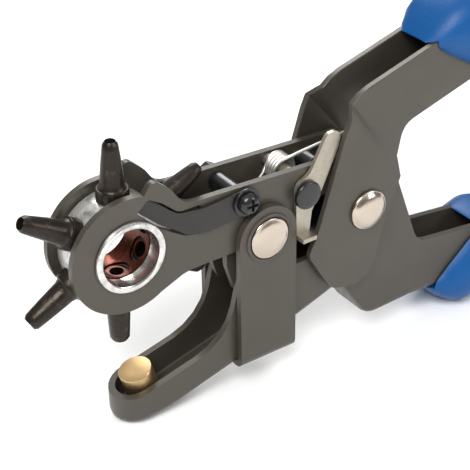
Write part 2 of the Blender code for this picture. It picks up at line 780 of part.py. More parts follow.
def detent_screw():
    """Pan-head screw with a cross recess, its shank right through to the nut."""
    washer_face = detent_layers()[1]
    seat = washer_face + GAP
    head = 2.3 * MM
    end = -(JAW_HALF + 4.0 * MM)
    profile = [(0, seat + head), (SCREW_HEAD * 0.45, seat + head * 0.96),
               (SCREW_HEAD * 0.8, seat + head * 0.74), (SCREW_HEAD * 0.97, seat + head * 0.38),
               (SCREW_HEAD, seat), (SCREW_SHANK, seat), (SCREW_SHANK, end + 0.4 * MM),
               (SCREW_SHANK - 0.4 * MM, end), (0, end)]
    item = turned("detent_screw", profile, 32, across(DETENT_SCREW, 0.0))
    depth = seat + head - 1.3 * MM
    x, z = DETENT_SCREW
    for long_x, long_z in ((1.9 * MM, 0.45 * MM), (0.45 * MM, 1.9 * MM)):
        item = cut(item, box("recess", (x - long_x, -20 * MM, z - long_z), (x + long_x, -depth, z + long_z)))
    return item


def detent_nut():
    low = JAW_HALF + GAP
    high = low + 3.0 * MM
    item = cylinder("detent_nut", DETENT_SCREW, 3.9 * MM, low, high, 6)
    item = soften(item, 0.3 * MM, 1, 30)
    return cut(item, cylinder("thread", DETENT_SCREW, SCREW_SHANK + GAP, low - MM, high + MM, SMALL_ROUND))


def screw_spacer():
    reach = JAW_HALF - SHEET - GAP
    return plain_washer("screw_spacer", DETENT_SCREW, SCREW_SHANK + GAP, 2.9 * MM, -reach, reach)


def drive_tongue():
    """Block riveted between the tails of the jaw plates, with a fork slot for the drive pin."""
    half = 3.0 * MM
    x, z = DRIVE_POINT[0] / MM, DRIVE_POINT[1] / MM
    outline = rounded([(x - 4.6, z - 4.4, 3), (x + 4.4, z - 4.4, 3), (x + 6.6, -5.0, 3), (81.4, -2.6, 3.4),
                       (81.4, 6.0, 3.4), (61.8, 7.0, 3.4), (61.4, -4.0, 3)])
    item = soften(prism("drive_tongue", outline, -half, half))
    radius = PIN_RADIUS + SHAFT_PLAY + 0.1 * MM
    start = Vector(DRIVE_POINT)
    end = start + DRIVE_SLIP
    heading = math.degrees(math.atan2(DRIVE_SLIP.y, DRIVE_SLIP.x))
    slot = arc(end, radius, heading - 90, heading + 90, 8) + arc(start, radius, heading + 90,
                                                                heading + 270, 8)
    item = cut(item, prism("fork", slot, -5 * MM, 5 * MM))
    for centre in TAIL_RIVETS:
        item = cut(item, cylinder("rivet_hole", centre, PIN_RADIUS + GAP, -5 * MM, 5 * MM, SMALL_ROUND))
    return item


def flush_pin(name, centre, radius):
    reach = JAW_HALF - BLIND_SKIN - GAP
    return cylinder(name, centre, radius, -reach, reach, SMALL_ROUND)


def torsion_spring():
    """Opening spring: close coil on its pin, one leg up into the handle, one short leg down."""
    pitch = 2 * WIRE + 0.1 * MM
    steps = 14
    start = math.radians(118)
    total = COIL_TURNS * steps
    x, z = SPRING_CENTRE
    width = COIL_TURNS * pitch
    points = []
    leg_end = Vector((90.3 * MM, -width / 2, 12.4 * MM))
    top = Vector((x + COIL_RADIUS * math.cos(start), -width / 2, z + COIL_RADIUS * math.sin(start)))
    leg = [leg_end.lerp(top, share) for share in (0, 0.3, 0.6, 0.88)]
    points += [tuple(point) for point in leg]
    for step in range(total + 1):
        angle = start + 2 * math.pi * step / steps
        y = -width / 2 + width * step / total
        points.append((x + COIL_RADIUS * math.cos(angle), y, z + COIL_RADIUS * math.sin(angle)))
    points.append((x - 4.4 * MM, width / 2, z - 1.4 * MM))
    points.append((x - 7.6 * MM, width / 2, z - 5.0 * MM))
    curve = bpy.data.curves.new("torsion_spring", "CURVE")
    curve.dimensions = "3D"
    curve.bevel_depth = WIRE
    curve.bevel_resolution = 1
    curve.use_fill_caps = True
    spline = curve.splines.new("POLY")
    spline.points.add(len(points) - 1)
    for point, place in zip(spline.points, points):
        point.co = (*place, 1.0)
    return bake(new_object("torsion_spring", curve))


# ---------------------------------------------------------------- lock lever

def lock_lever():
    """Stamped lever: boss at its rivet, long arm up, short arm down to a bent thumb tab."""
    low = -(JAW_HALF + GAP + LEVER_THICK)
    high = -(JAW_HALF + GAP)
    x, z = LEVER_PIVOT[0] / MM, LEVER_PIVOT[1] / MM
    outline = rounded([(x - 3.2, z - 13.0, 0.3), (x + 1.4, z - 13.0, 0.3), (x + 2.3, z - 6.0, 3),
                       (x + 4.6, z - 2.8, 3), (x + 6.4, z + 1.2, 4), (x + 11.0, z + 11.0, 8),
                       (x + 12.0, z + 14.4, 1.6), (x + 10.9, z + 17.0, 2.2), (x + 7.2, z + 16.8, 2.4),
                       (x + 1.2, z + 5.6, 5), (x - 3.4, z + 4.0, 3.5), (x - 3.4, z - 1.0, 3)])
    item = prism("lock_lever", outline, low, high)
    tab_low = ((x - 3.2) * MM, low - 3.4 * MM, (z - 14.0) * MM)
    tab_high = ((x + 1.6) * MM, high, (z - 12.7) * MM)
    item = join(item, box("tab", tab_low, tab_high))
    hole = cylinder("hole", LEVER_PIVOT, LEVER_SHANK + SHAFT_PLAY, low - MM, high + MM, SMALL_ROUND)
    return cut(item, hole)


def lever_rivet():
    """Black rivet: wide low head over the lever, small head inside the jaw plate."""
    lever_face = JAW_HALF + GAP + LEVER_THICK
    seat = lever_face + GAP
    top = seat + 1.6 * MM
    inner = JAW_HALF - SHEET - GAP
    profile = [(0, top), (LEVER_HEAD * 0.6, top - 0.05 * MM), (LEVER_HEAD - 0.5 * MM, top - 0.3 * MM),
               (LEVER_HEAD, top - 0.8 * MM), (LEVER_HEAD, seat), (LEVER_SHANK, seat), (LEVER_SHANK, inner),
               (3.0 * MM, inner), (3.0 * MM, inner - 1.0 * MM), (0, inner - 1.0 * MM)]
    return turned("lever_rivet", profile, 40, across(LEVER_PIVOT, 0.0))


# ---------------------------------------------------------------- turret

def tube_direction(index):
    return TUBE_FIRST_ANGLE + 2 * math.pi * index / TUBE_COUNT


def radial(index):
    """Placement whose +Z points outwards along one tube's axis."""
    return Matrix.Rotation(math.radians(90) - tube_direction(index), 4, "Y")


def turret_drum():
    """Cast drum: slug bore, counterbores for the bushes and a seat and hole for each tube."""
    seat = BUSH_SPIGOT + GAP
    edge = 0.5 * MM
    depth = DRUM_HALF - SPIGOT_DEPTH
    profile = [(seat, DRUM_HALF), (DRUM_RADIUS - edge, DRUM_HALF), (DRUM_RADIUS, DRUM_HALF - edge),
               (DRUM_RADIUS, -DRUM_HALF + edge), (DRUM_RADIUS - edge, -DRUM_HALF), (seat, -DRUM_HALF),
               (seat, -depth), (SLUG_BORE, -depth), (SLUG_BORE, depth), (seat, depth)]
    item = turned("turret_drum", profile, ROUND, across(HUB, 0.0))
    for index in range(TUBE_COUNT):
        item = cut(item, tube_bore(index))
    return item


def tube_bore(index):
    stem = TUBE_STEM + GAP
    collar = COLLAR_RADIUS + GAP
    foot = COLLAR_FOOT - GAP
    profile = [(0, 20 * MM), (collar, 20 * MM), (collar, foot), (stem, foot), (stem, 5 * MM), (0, 5 * MM)]
    return turned("bore", profile, 20, radial(index))


def punch_tube(index):
    """Screwed punch tube: stem, round collar and a tapered barrel ground to a ring edge."""
    bore = PUNCH_BORES[index] / 2
    tip = bore + TUBE_WALL
    edge = bore + 0.2 * MM
    root = SLUG_BORE + 0.4 * MM
    span = TUBE_TIP - COLLAR_TOP
    barrel = []
    for share in (0.08, 0.4, 0.75, 0.93):
        taper = share ** 1.35
        barrel.append((TUBE_BASE + (tip - TUBE_BASE) * taper, COLLAR_TOP + span * share))
    profile = [(edge, TUBE_TIP)] + barrel[::-1]
    profile += [(TUBE_BASE + 0.35 * MM, COLLAR_TOP), (COLLAR_RADIUS - 0.5 * MM, COLLAR_TOP),
                (COLLAR_RADIUS, COLLAR_TOP - 0.6 * MM), (COLLAR_RADIUS, COLLAR_FOOT),
                (TUBE_STEM, COLLAR_FOOT), (TUBE_STEM, root), (bore, root), (bore, TUBE_TIP - 0.5 * MM)]
    return turned(f"punch_tube_{index + 1}", profile, SMALL_ROUND, radial(index))


# ---------------------------------------------------------------- grips

def grip_section(half_y, out, inward, count=28):
    """Rounded-box ring: half width, reach outwards and reach inwards from the channel's middle."""
    ring = []
    for step in range(count):
        angle = 2 * math.pi * step / count
        c, s = math.cos(angle), math.sin(angle)
        y = half_y * math.copysign(abs(c) ** 0.62, c)
        height = (out if s > 0 else inward) * math.copysign(abs(s) ** 0.62, s)
        ring.append((y, height))
    return ring


def grip(name, front, slope, outward, middle):
    """Moulded sleeve over a handle channel: slanted flared guard, waisted barrel, closed round end.

    front is the guard's first station along X, slope the handle's rise, outward +1 or -1 for the
    side away from the other handle, and middle the height of the channel's centre line at x = 0.
    """
    tilt = math.atan(slope)
    along = Vector((math.cos(tilt), 0.0, math.sin(tilt)))
    up = Vector((-math.sin(tilt), 0.0, math.cos(tilt))) * outward
    origin = Vector((0.0, 0.0, middle))
    half_y = GRIP_CHANNEL_HALF + GAP
    half_n = HANDLE_DEPTH / 2 + GAP
    wall = GRIP_WALL
    start = front / math.cos(tilt)
    end = GRIP_END / math.cos(tilt)
    length = end - start
    stations = [(0.0, 0.7 * MM, 0.7 * MM, 0.7 * MM, 0.9), (0.02, 2.0 * MM, 2.2 * MM, 1.5 * MM, 0.9),
                (0.06, 4.2 * MM, 5.4 * MM, 2.2 * MM, 0.86), (0.12, 5.6 * MM, GUARD, wall, 0.75),
                (0.18, 5.2 * MM, GUARD * 0.86, wall, 0.55), (0.26, 3.6 * MM, GUARD * 0.5, wall, 0.3),
                (0.36, 3.0 * MM, 3.2 * MM, wall, 0.1), (0.55, 3.4 * MM, 3.8 * MM, 3.2 * MM, 0.0),
                (0.8, 3.6 * MM, 4.0 * MM, 3.4 * MM, 0.0), (0.94, 3.2 * MM, 3.4 * MM, 3.0 * MM, 0.0),
                (0.985, 1.8 * MM, 2.0 * MM, 1.6 * MM, 0.0), (1.0, -1.5 * MM, -1.5 * MM, -1.5 * MM, 0.0)]
    form = bmesh.new()
    rings = []
    for share, side, out, inward, shear in stations:
        ring = []
        for y, n in grip_section(half_y + side, half_n + out, half_n + inward):
            lean = max(0.0, half_n - n) * shear
            distance = start + length * share + lean * (1 - share)
            point = origin + along * distance + up * n
            ring.append(form.verts.new((point.x, y, point.z)))
        rings.append(ring)
    for first, second in zip(rings, rings[1:]):
        for index in range(len(first)):
            after = (index + 1) % len(first)
            form.faces.new((first[index], first[after], second[after], second[index]))
    form.faces.new(rings[0])
    form.faces.new(rings[-1])
    bmesh.ops.recalc_face_normals(form, faces=form.faces)
    mesh = bpy.data.meshes.new(name)
    form.to_mesh(mesh)
    form.free()
    item = new_object(name, mesh)
    cavity_end = (CHANNEL_END + 1.5 * MM) / math.cos(tilt)
    cavity = box("cavity", (start - 30 * MM, -half_y, -half_n), (cavity_end, half_y, half_n))
    turn = Matrix.Translation(origin) @ Matrix.Rotation(-tilt, 4, "Y")
    cavity.data.transform(turn)
    return cut(item, cavity)


def upper_grip():
    rim_at_zero = 23.8 - UPPER_SLOPE * 72.2
    web_at_zero = 10.0 - UPPER_SLOPE * 93.8
    return grip("upper_grip", 105.0 * MM, UPPER_SLOPE, 1, (rim_at_zero + web_at_zero) / 2 * MM)


def lower_grip():
    rim_at_zero = -34.1 - LOWER_SLOPE * 102.5
    floor_at_zero = -54.3 - LOWER_SLOPE * 104
    return grip("lower_grip", 110.0 * MM, LOWER_SLOPE, -1, (rim_at_zero + floor_at_zero) / 2 * MM)


# ---------------------------------------------------------------- assembly

def build_frame(tool):
    tool.place(frame_channel(), tool.root, STEEL)
    tool.place(anvil(), tool.root, BRASS)
    tool.place(lower_grip(), tool.root, BLUE)
    rivet = headed_rivet("handle_rivet", HANDLE_PIVOT, RIVET_SHANK, RIVET_HEAD, HANDLE_HEAD_HEIGHT,
                         CHEEK_HALF)
    tool.place(rivet, tool.root, CHROME)
    low = FRAME_HALF + GAP
    high = CHEEK_HALF - SHEET - GAP
    bore = RIVET_SHANK + GAP
    for name, near_face, far_face in (("handle_washer_near", -high, -low), ("handle_washer_far", low, high)):
        tool.place(plain_washer(name, HANDLE_PIVOT, bore, WASHER_RIM, near_face, far_face), tool.root, ZINC)


def build_handle(tool):
    body = tool.joint("handle_axis", tool.root, HANDLE_PIVOT)
    tool.place(handle_channel(), body, STEEL)
    tool.place(upper_grip(), body, BLUE)
    tool.place(drive_pin(), body, ZINC)


def build_link(tool):
    body = tool.joint("link_axis", tool.root, LINK_FOOT)
    tool.place(saddle_link(), body, STEEL)
    rivet = headed_rivet("jaw_rivet", JAW_PIVOT, RIVET_SHANK, RIVET_HEAD, JAW_HEAD_HEIGHT, LINK_HALF)
    tool.place(rivet, body, CHROME)
    return body


def build_jaw(tool, link):
    body = tool.joint("jaw_axis", link, JAW_PIVOT)
    tool.place(jaw_plate("jaw_plate_near", -1), body, STEEL)
    tool.place(jaw_plate("jaw_plate_far", 1), body, STEEL)
    tool.place(hub_bush("hub_bush_near", True), body, CAST)
    tool.place(hub_bush("hub_bush_far", False), body, CAST)
    tool.place(detent_spring(), body, STEEL)
    tool.place(detent_washer(), body, BLACK)
    tool.place(detent_screw(), body, BLACK)
    tool.place(detent_nut(), body, BLACK)
    tool.place(screw_spacer(), body, BLACK)
    tool.place(drive_tongue(), body, BLACK)
    tool.place(flush_pin("tail_rivet_front", TAIL_RIVETS[0], PIN_RADIUS), body, ZINC)
    tool.place(flush_pin("tail_rivet_rear", TAIL_RIVETS[1], PIN_RADIUS), body, ZINC)
    tool.place(flush_pin("spring_pin", SPRING_CENTRE, PIN_RADIUS), body, ZINC)
    tool.place(torsion_spring(), body, SPRING)
    tool.place(lever_rivet(), body, BLACK)
    return body


def build_turret(tool, jaw):
    body = tool.joint("turret_axis", jaw, HUB)
    tool.place(turret_drum(), body, CAST)
    for index in range(TUBE_COUNT):
        tool.place(punch_tube(index), body, TUBE_STEEL)


def build_lever(tool, jaw):
    body = tool.joint("lever_axis", jaw, LEVER_PIVOT)
    tool.place(lock_lever(), body, ZINC)


def main():
    clear_scene()
    tool = Assembly()
    build_frame(tool)
    build_handle(tool)
    link = build_link(tool)
    jaw = build_jaw(tool, link)
    build_turret(tool, jaw)
    build_lever(tool, jaw)
    tool.stand()


main()
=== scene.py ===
import json
import math

import bpy
from mathutils import Matrix, Vector


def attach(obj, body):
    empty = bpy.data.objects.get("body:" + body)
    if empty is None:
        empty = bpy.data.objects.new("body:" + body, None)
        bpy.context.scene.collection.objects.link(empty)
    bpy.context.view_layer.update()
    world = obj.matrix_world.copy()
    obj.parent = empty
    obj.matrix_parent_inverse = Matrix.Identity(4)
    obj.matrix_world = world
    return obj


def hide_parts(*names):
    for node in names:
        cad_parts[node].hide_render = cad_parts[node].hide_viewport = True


bl_info = {
    "name": "Rotary Hole Punch",
    "version": (1, 0, 0),
    "blender": (4, 5, 0),
    "location": "View3D > Sidebar > Hole Punch",
    "description": "Finishes the rotary hole punch: pressed sheet, turned punches, rivets and grips",
    "category": "Add Mesh",
}

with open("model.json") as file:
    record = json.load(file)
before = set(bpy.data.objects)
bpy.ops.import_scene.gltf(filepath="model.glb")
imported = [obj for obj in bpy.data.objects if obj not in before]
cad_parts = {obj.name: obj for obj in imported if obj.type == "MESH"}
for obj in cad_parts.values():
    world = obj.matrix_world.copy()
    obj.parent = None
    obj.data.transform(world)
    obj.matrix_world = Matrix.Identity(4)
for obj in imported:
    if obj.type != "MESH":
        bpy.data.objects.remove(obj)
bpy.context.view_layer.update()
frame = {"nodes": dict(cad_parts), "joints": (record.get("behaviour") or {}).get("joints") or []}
MM = 0.001

# places in the tool's drawing plane, in mm: origin at the turret's centre, x to the grips, z up
HANDLE_PIVOT = (78.3, -11.5)
JAW_PIVOT = (43.2, -8.8)
LEVER_PIVOT = (56.8, 0.2)
SPRING_CENTRE = (54.5, 5.4)
SPRING_LEG_END = (90.3, 12.4)
ANVIL_FACE = (3.3, -43.7)
ANVIL_TILT = math.radians(16.3)

# faces across the tool, in mm from its middle plane
CHEEK_SEAT = 11.3
HANDLE_HEAD_TOP = 13.7
LINK_FACE = 10.3
LINK_SEAT = 10.6
JAW_HEAD_TOP = 12.1
EYELET_SEAT = 8.1
EYELET_END = 4.1
LEVER_SEAT = 9.6
LEVER_HEAD_TOP = 11.2
JAW_INSIDE = 5.5
LEVER_FOOT_END = 4.5

# radii and lengths of the round pieces, in mm
RIVET_HEAD = 6.3
RIVET_SHANK = 3.0
LEVER_HEAD = 4.3
LEVER_SHANK = 1.8
LEVER_FOOT = 3.0
ANVIL_RADIUS = 5.0
ANVIL_BASE = -10.0
ANVIL_STEM = 2.4
ANVIL_END = -14.9
EYELET_BORE = 8.5
EYELET_SPIGOT = 9.2
EYELET_FLANGE = 10.6
COIL_RADIUS = 3.8
COIL_PITCH = 1.1
COIL_TURNS = 4
COIL_STEPS = 24
COIL_START = math.radians(118)
WIRE_RADIUS = 0.5

# punch tubes, in mm along each tube from the turret's centre
PUNCH_BORES = (2.0, 2.5, 3.0, 3.5, 4.0, 4.5)
TUBE_FIRST_ANGLE = 28.85
TUBE_WALL = 0.75
TUBE_TIP = 31.0
TUBE_ROOT = 8.7
TUBE_BASE = 3.4
TUBE_STEM = 3.2
COLLAR_RADIUS = 4.5
COLLAR_TOP = 17.4
COLLAR_FOOT = 14.2

RUSTED_BORE = 9.0 * MM


def joint_place(name):
    for joint in frame["joints"]:
        if joint["name"] == name:
            return Vector(joint["pos_m"])
    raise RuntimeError(f"no joint named {name}")


def drawing_to_world():
    """Turns the tool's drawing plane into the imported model's frame."""
    hub = joint_place("turret_turn")
    reach = joint_place("handle_squeeze") - hub
    drawn = math.atan2(HANDLE_PIVOT[1], HANDLE_PIVOT[0])
    pitch = math.atan2(reach.z, reach.x) - drawn
    return Matrix.Translation(hub) @ Matrix.Rotation(-pitch, 4, "Y")


TOOL = drawing_to_world()


def at(x, z, y=0.0):
    """A point of the drawing plane, in mm, as a place in the model."""
    return TOOL @ Vector((x * MM, y * MM, z * MM))


def across(x, z, near=True):
    """Placement whose +Z leaves the tool on the near or the far side at a drawing point."""
    turn = 90 if near else -90
    return TOOL @ Matrix.Translation((x * MM, 0, z * MM)) @ Matrix.Rotation(math.radians(turn), 4, "X")


# ------------------------------------------------------------------ shader maths

class Value:
    """A number socket that adds Math nodes when it is used in an expression."""

    def __init__(self, tree, socket):
        self.tree = tree
        self.socket = socket

    def maths(self, operation, first, second=0.0, clamp=False):
        node = self.tree.nodes.new("ShaderNodeMath")
        node.operation = operation
        node.use_clamp = clamp
        for slot, item in zip(node.inputs, (first, second)):
            if isinstance(item, Value):
                self.tree.links.new(item.socket, slot)
            else:
                slot.default_value = item
        return Value(self.tree, node.outputs[0])

    def __add__(self, other):
        return self.maths("ADD", self, other)

    def __radd__(self, other):
        return self.maths("ADD", other, self)

    def __sub__(self, other):
        return self.maths("SUBTRACT", self, other)

    def __rsub__(self, other):
        return self.maths("SUBTRACT", other, self)

    def __mul__(self, other):
        return self.maths("MULTIPLY", self, other)

    def __rmul__(self, other):
        return self.maths("MULTIPLY", other, self)

    def below(self, limit):
        return self.maths("LESS_THAN", self, limit)

    def above(self, limit):
        return self.maths("GREATER_THAN", self, limit)

    def sine(self):
        return self.maths("SINE", self)

    def clamped(self):
        return self.maths("ADD", self, 0.0, clamp=True)


class Finish:
    """One material under construction."""

    def __init__(self, name, roughness, metallic, coat=0.0, coat_roughness=0.1):
        self.material = bpy.data.materials.new(name)
        self.material.use_nodes = True
        self.tree = self.material.node_tree
        self.shader = self.tree.nodes["Principled BSDF"]
        self.shader.inputs["Roughness"].default_value = roughness
        self.shader.inputs["Metallic"].default_value = metallic
        self.shader.inputs["Coat Weight"].default_value = coat
        self.shader.inputs["Coat Roughness"].default_value = coat_roughness

    def node(self, kind, settings=None, sockets=None):
        made = self.tree.nodes.new(kind)
        for key, item in (settings or {}).items():
            setattr(made, key, item)
        for key, item in (sockets or {}).items():
            target = made.inputs[key]
            if isinstance(item, Value):
                self.tree.links.new(item.socket, target)
            elif isinstance(item, bpy.types.NodeSocket):
                self.tree.links.new(item, target)
            else:
                target.default_value = item
        return made

    def place(self):
        return self.node("ShaderNodeTexCoord").outputs["Object"]

    def noise(self, size_mm, detail=3.0, roughness=0.55, stretch=(1, 1, 1)):
        """Soft noise from 0 to 1 whose blotches are about size_mm across."""
        scaled = self.node("ShaderNodeMapping", sockets={"Vector": self.place(), "Scale": stretch})
        made = self.node("ShaderNodeTexNoise", sockets={
            "Vector": scaled.outputs[0], "Scale": 1.0 / (size_mm * MM), "Detail": detail,
            "Roughness": roughness})
        return Value(self.tree, made.outputs["Fac"])

    def pits(self, size_mm):
        """Distance to scattered points, from 0 at each point."""
        made = self.node("ShaderNodeTexVoronoi", sockets={
            "Vector": self.place(), "Scale": 1.0 / (size_mm * MM), "Randomness": 1.0})
        return Value(self.tree, made.outputs["Distance"])

    def axis_distance(self, centre, axis):
        """Distance in metres from a line through centre along axis."""
        moved = self.node("ShaderNodeVectorMath", {"operation": "SUBTRACT"},
                          {0: self.place(), 1: tuple(centre)})
        cross = self.node("ShaderNodeVectorMath", {"operation": "CROSS_PRODUCT"},
                          {0: moved.outputs[0], 1: tuple(axis.normalized())})
        length = self.node("ShaderNodeVectorMath", {"operation": "LENGTH"}, {0: cross.outputs[0]})
        return Value(self.tree, length.outputs["Value"])

    def blend(self, factor, first, second):
        """Colour between two colours or colour sockets."""
        made = self.node("ShaderNodeMix", {"data_type": "RGBA"})
        self.tree.links.new(factor.socket, made.inputs[0])
        for slot, item in ((6, first), (7, second)):
            if isinstance(item, bpy.types.NodeSocket):
                self.tree.links.new(item, made.inputs[slot])
            else:
                made.inputs[slot].default_value = (*item[:3], 1.0)
        return made.outputs[2]

    def sideways(self):
        """Distance in metres from the tool's middle plane, positive on the far side."""
        split = self.node("ShaderNodeSeparateXYZ", sockets={0: self.place()})
        return Value(self.tree, split.outputs["Y"])

    def hub_distance(self):
        return self.axis_distance(at(0, 0), TOOL.to_3x3() @ Vector((0, 1, 0)))

    def rust(self):
        return self.blend(self.noise(2.0, 4), (0.045, 0.010, 0.004), (0.16, 0.035, 0.016))

    def colour(self, socket):
        self.tree.links.new(socket, self.shader.inputs["Base Color"])

    def roughness(self, value):
        self.tree.links.new(value.clamped().socket, self.shader.inputs["Roughness"])

    def bump(self, height, depth_mm, strength=1.0):
        made = self.node("ShaderNodeBump", sockets={
            "Height": height, "Distance": depth_mm * MM, "Strength": strength})
        self.tree.links.new(made.outputs[0], self.shader.inputs["Normal"])


def shade(colour, factor):
    """Darker or lighter version of a colour."""
    return tuple(channel * factor for channel in colour[:3])


def finish_named(name, maker, *details):
    """The material of that name, made only once."""
    found = bpy.data.materials.get(name)
    return found if found else maker(name, *details)


def lacquer(name, colour):
    """Satin metallic lacquer: drifting tone, fine orange peel and rubbed flecks."""
    made = Finish(name, 0.4, 0.3, coat=0.08, coat_roughness=0.3)
    drift = made.noise(14, 3)
    fleck = made.noise(0.35, 2)
    tone = (drift * 0.7 + fleck * 0.3).clamped()
    made.colour(made.blend(tone, shade(colour, 0.80), shade(colour, 1.22)))
    made.roughness(0.34 + made.noise(6, 4) * 0.16)
    made.bump(made.noise(0.5, 3), 0.012)
    return made.material


def rubbed_edge_and_highlight(name, colour):
    """Edge of the sheet where the lacquer has rubbed down to bright steel; the lighter edge is also a
    painted highlight along the rims.
    """
    made = Finish(name, 0.3, 0.6)
    wear_and_highlight = ((made.noise(3.0, 5, 0.7) - 0.5) * 3.6).clamped()
    # Lighter bright-steel patches on the bevels: partly rubbed wear, partly a painted highlight along the
    # sheet's rims.
    made.colour(made.blend(wear_and_highlight, shade(colour, 1.2), (0.42, 0.39, 0.33)))
    made.roughness(0.26 + made.noise(1.0, 3) * 0.2)
    made.bump(made.noise(0.4, 2), 0.01)
    return made.material


def bright_plate(name, colour):
    """Polished plating with faint handling scratches."""
    made = Finish(name, 0.16, 1.0)
    scratch = made.noise(1.2, 5, 0.7, (1, 1, 9))
    haze = made.noise(4, 3)
    made.colour(made.blend(haze, shade(colour, 0.9), shade(colour, 1.06)))
    made.roughness(0.12 + haze * 0.1 + scratch * 0.07)
    made.bump(scratch, 0.004)
    return made.material


def zinc_plate(name, colour):
    """Dull zinc with a mottled passivated bloom and small pocks."""
    made = Finish(name, 0.38, 0.85)
    bloom = made.noise(2.2, 5, 0.65)
    pock = made.pits(0.9)
    made.colour(made.blend(bloom, shade(colour, 0.66), shade(colour, 1.18)))
    made.roughness(0.28 + bloom * 0.26)
    made.bump(pock * 0.4 + bloom, 0.05)
    return made.material


def black_oxide(name, colour):
    made = Finish(name, 0.28, 0.4, coat=0.4, coat_roughness=0.15)
    drift = made.noise(1.5, 4)
    made.colour(made.blend(drift, shade(colour, 0.7), shade(colour, 1.7)))
    made.roughness(0.2 + drift * 0.2)
    made.bump(made.noise(0.3, 2), 0.008)
    return made.material


def tube_black(name, colour):
    """Dark bronze-black finish, pitted, rubbed a little on high spots, stained at the inner end."""
    made = Finish(name, 0.3, 0.7)
    pit = made.pits(0.8)
    drift = made.noise(2.5, 5, 0.65)
    worn = ((drift - 0.56) * 5.0).clamped()
    metal = made.blend(worn, shade(colour, 0.8), shade(colour, 2.6))
    made.colour(made.blend(made.hub_distance().below(RUSTED_BORE), metal, made.rust()))
    made.roughness(0.22 + drift * 0.24)
    made.bump(pit * 0.7 + drift * 0.5, 0.06)
    return made.material


def cast_bright(name, colour):
    """Bright casting, lumpy and dirty in its hollows, stained red-brown down the hub bore."""
    made = Finish(name, 0.34, 0.85)
    lump = made.noise(1.6, 5, 0.6)
    dirt = ((made.noise(3.4, 5, 0.7) - 0.52) * 4.5).clamped()
    metal = made.blend(dirt, shade(colour, 1.0), shade(colour, 0.3))
    made.colour(made.blend(made.hub_distance().below(RUSTED_BORE), metal, made.rust()))
    made.roughness(0.24 + lump * 0.2 + dirt * 0.2)
    made.bump(lump, 0.22)
    return made.material


def eyelet_metal(name, colour):
    """Rolled eyelet: bright with darker smears, stained inside on the far side."""
    made = Finish(name, 0.26, 0.95)
    smear = ((made.noise(2.4, 4, 0.6) - 0.45) * 3.0).clamped()
    metal = made.blend(smear, shade(colour, 1.0), shade(colour, 0.45))
    far_bore = made.hub_distance().below(RUSTED_BORE) * made.sideways().above(0.0)
    made.colour(made.blend(far_bore, metal, made.rust()))
    made.roughness(0.18 + smear * 0.22)
    made.bump(made.noise(0.9, 3), 0.03)
    return made.material


def turned_brass(name, colour):
    """Brass with the rings that a facing cut leaves, and dull patches."""
    made = Finish(name, 0.3, 0.95)
    axis = TOOL.to_3x3() @ Vector((-math.sin(ANVIL_TILT), 0, math.cos(ANVIL_TILT)))
    radius = made.axis_distance(at(*ANVIL_FACE), axis)
    rings = (radius * (2 * math.pi / (0.42 * MM))).sine() * 0.5 + 0.5
    dull = made.noise(2.6, 4)
    made.colour(made.blend(dull, shade(colour, 0.82), shade(colour, 1.1)))
    made.roughness(0.24 + dull * 0.18 + rings * 0.06)
    made.bump(rings, 0.012)
    return made.material


def moulded_vinyl(name, colour):
    """Blue vinyl with a fine moulded grain and a slight bloom."""
    made = Finish(name, 0.42, 0.0)
    made.shader.inputs["Specular IOR Level"].default_value = 0.3
    grain = made.pits(0.7)
    bloom = made.noise(16, 4)
    made.colour(made.blend(bloom, shade(colour, 0.86), shade(colour, 1.14)))
    made.roughness(0.36 + bloom * 0.14)
    made.bump(grain + made.noise(0.5, 2) * 0.5, 0.035)
    return made.material


def floor_paint(name, colour):
    made = Finish(name, 0.85, 0.0)
    made.colour(made.blend(made.noise(60, 3), shade(colour, 0.985), shade(colour, 1.0)))
    return made.material


# ------------------------------------------------------------------ modelling helpers

def only(item):
    """Makes item the one selected and active object."""
    bpy.ops.object.select_all(action="DESELECT")
    item.select_set(True)
    bpy.context.view_layer.objects.active = item


def weigh_normals(item, angle=40):
    only(item)
    bpy.ops.object.shade_smooth_by_angle(angle=math.radians(angle))
    item.modifiers.new("flat_faces_stay_flat", "WEIGHTED_NORMAL").keep_sharp = True
    bpy.ops.object.modifier_apply(modifier="flat_faces_stay_flat")


def declare(item, body, slot, *nodes):
    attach(item, body)
    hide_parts(*nodes)
    return item


def dressed(node, body, slot, faces, edges, round_mm=0.3, segments=3, sharp=42):
    """Finished copy of a CAD node: triangles merged to faces and its sharp edges rounded."""
    item = bpy.data.objects.new("finished_" + node, frame["nodes"][node].data.copy())
    bpy.context.scene.collection.objects.link(item)
    item.data.materials.clear()
    item.data.materials.append(faces)
    item.data.materials.append(edges)
    only(item)
    bpy.ops.object.mode_set(mode="EDIT")
    bpy.ops.mesh.select_mode(type="EDGE")
    bpy.ops.mesh.select_all(action="SELECT")
    bpy.ops.mesh.remove_doubles(threshold=0.000003)
    bpy.ops.mesh.dissolve_limited(angle_limit=math.radians(1.0), use_dissolve_boundaries=False)
    if round_mm:
        bpy.ops.mesh.select_all(action="DESELECT")
        bpy.ops.mesh.edges_select_sharp(sharpness=math.radians(sharp))
        bpy.ops.mesh.bevel(offset=round_mm * MM, segments=segments, affect="EDGES", clamp_overlap=True,
                           material=1)
    bpy.ops.object.mode_set(mode="OBJECT")
    weigh_normals(item)
    return declare(item, body, slot, node)


